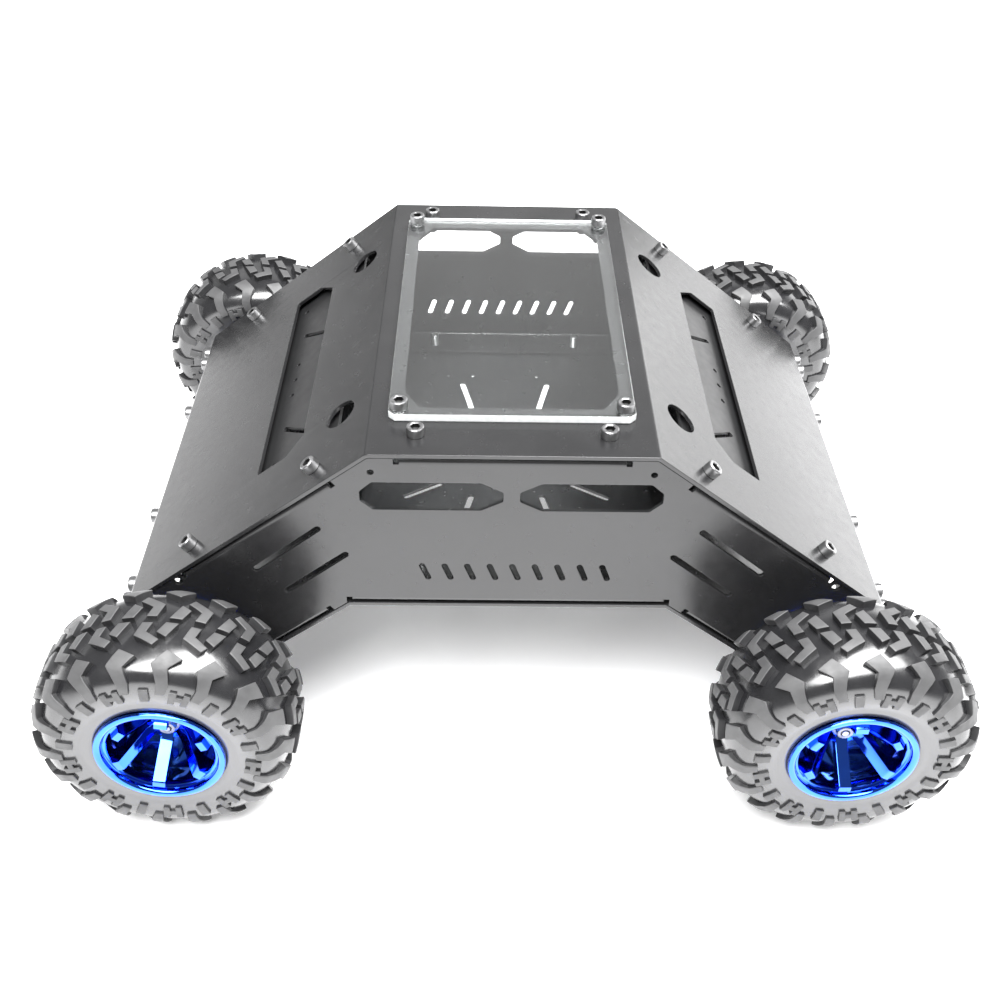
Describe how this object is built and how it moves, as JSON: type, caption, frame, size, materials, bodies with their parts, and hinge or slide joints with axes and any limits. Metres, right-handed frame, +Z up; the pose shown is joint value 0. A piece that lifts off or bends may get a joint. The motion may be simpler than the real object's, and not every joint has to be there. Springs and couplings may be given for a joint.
{
  "type": "four-wheel-drive robot chassis",
  "caption": "Off-road rover chassis of folded black sheet metal with sloping hoods, a clear roof window and knobbly tyres on blue spoked rims.",
  "frame": {"origin": "on the ground under the middle of the body", "axes": "+X forwards along the vehicle, +Y to its left along the wheel axles, +Z up"},
  "size_m": [0.4668, 0.394, 0.206],
  "materials": {
    "black_sheet": "satin black powder coat",
    "clear_window": "polished clear acrylic",
    "screw_steel": "zinc plated",
    "gearbox_steel": "machined",
    "motor_can": "satin plated",
    "tyre_rubber": "moulded rubber",
    "blue_chrome": "blue chrome plated plastic"
  },
  "bodies": {
    "chassis": {"top_cover": "black_sheet", "belly_plate": "black_sheet", "hood_brace_front": "black_sheet", "hood_brace_rear": "black_sheet", "side_plate_left": "black_sheet", "side_plate_right": "black_sheet", "window_pane": "clear_window", "window_screw_1": "screw_steel", "window_screw_2": "screw_steel", "window_screw_3": "screw_steel", "window_screw_4": "screw_steel", "roof_screw_1": "screw_steel", "roof_screw_2": "screw_steel", "roof_screw_3": "screw_steel", "roof_screw_4": "screw_steel", "belly_screw_1": "screw_steel", "belly_screw_2": "screw_steel", "belly_screw_3": "screw_steel", "belly_screw_4": "screw_steel", "hood_screw_upper_front_left": "screw_steel", "hood_screw_lower_front_left": "screw_steel", "end_screw_front_left": "screw_steel", "hood_screw_upper_front_right": "screw_steel", "hood_screw_lower_front_right": "screw_steel", "end_screw_front_right": "screw_steel", "hood_screw_upper_rear_left": "screw_steel", "hood_screw_lower_rear_left": "screw_steel", "end_screw_rear_left": "screw_steel", "hood_screw_upper_rear_right": "screw_steel", "hood_screw_lower_rear_right": "screw_steel", "end_screw_rear_right": "screw_steel", "gearbox_front_left": "gearbox_steel", "motor_can_front_left": "motor_can", "gearbox_front_right": "gearbox_steel", "motor_can_front_right": "motor_can", "gearbox_rear_left": "gearbox_steel", "motor_can_rear_left": "motor_can", "gearbox_rear_right": "gearbox_steel", "motor_can_rear_right": "motor_can"},
    "wheel_front_left": {"tyre_front_left": "tyre_rubber", "rim_front_left": "blue_chrome", "wheel_hub_front_left": "gearbox_steel", "wheel_nut_front_left": "screw_steel", "output_shaft_front_left": "gearbox_steel"},
    "wheel_front_right": {"tyre_front_right": "tyre_rubber", "rim_front_right": "blue_chrome", "wheel_hub_front_right": "gearbox_steel", "wheel_nut_front_right": "screw_steel", "output_shaft_front_right": "gearbox_steel"},
    "wheel_rear_left": {"tyre_rear_left": "tyre_rubber", "rim_rear_left": "blue_chrome", "wheel_hub_rear_left": "gearbox_steel", "wheel_nut_rear_left": "screw_steel", "output_shaft_rear_left": "gearbox_steel"},
    "wheel_rear_right": {"tyre_rear_right": "tyre_rubber", "rim_rear_right": "blue_chrome", "wheel_hub_rear_right": "gearbox_steel", "wheel_nut_rear_right": "screw_steel", "output_shaft_rear_right": "gearbox_steel"}
  },
  "joints": [
    {"name": "front_left_spin", "type": "hinge", "parent": "chassis", "child": "wheel_front_left", "pos_m": [0.1684, 0.167, 0.065], "axis": [0, 1, 0], "continuous": true},
    {"name": "front_right_spin", "type": "hinge", "parent": "chassis", "child": "wheel_front_right", "pos_m": [0.1684, -0.167, 0.065], "axis": [0, 1, 0], "continuous": true},
    {"name": "rear_left_spin", "type": "hinge", "parent": "chassis", "child": "wheel_rear_left", "pos_m": [-0.1684, 0.167, 0.065], "axis": [0, 1, 0], "continuous": true},
    {"name": "rear_right_spin", "type": "hinge", "parent": "chassis", "child": "wheel_rear_right", "pos_m": [-0.1684, -0.167, 0.065], "axis": [0, 1, 0], "continuous": true}
  ]
}
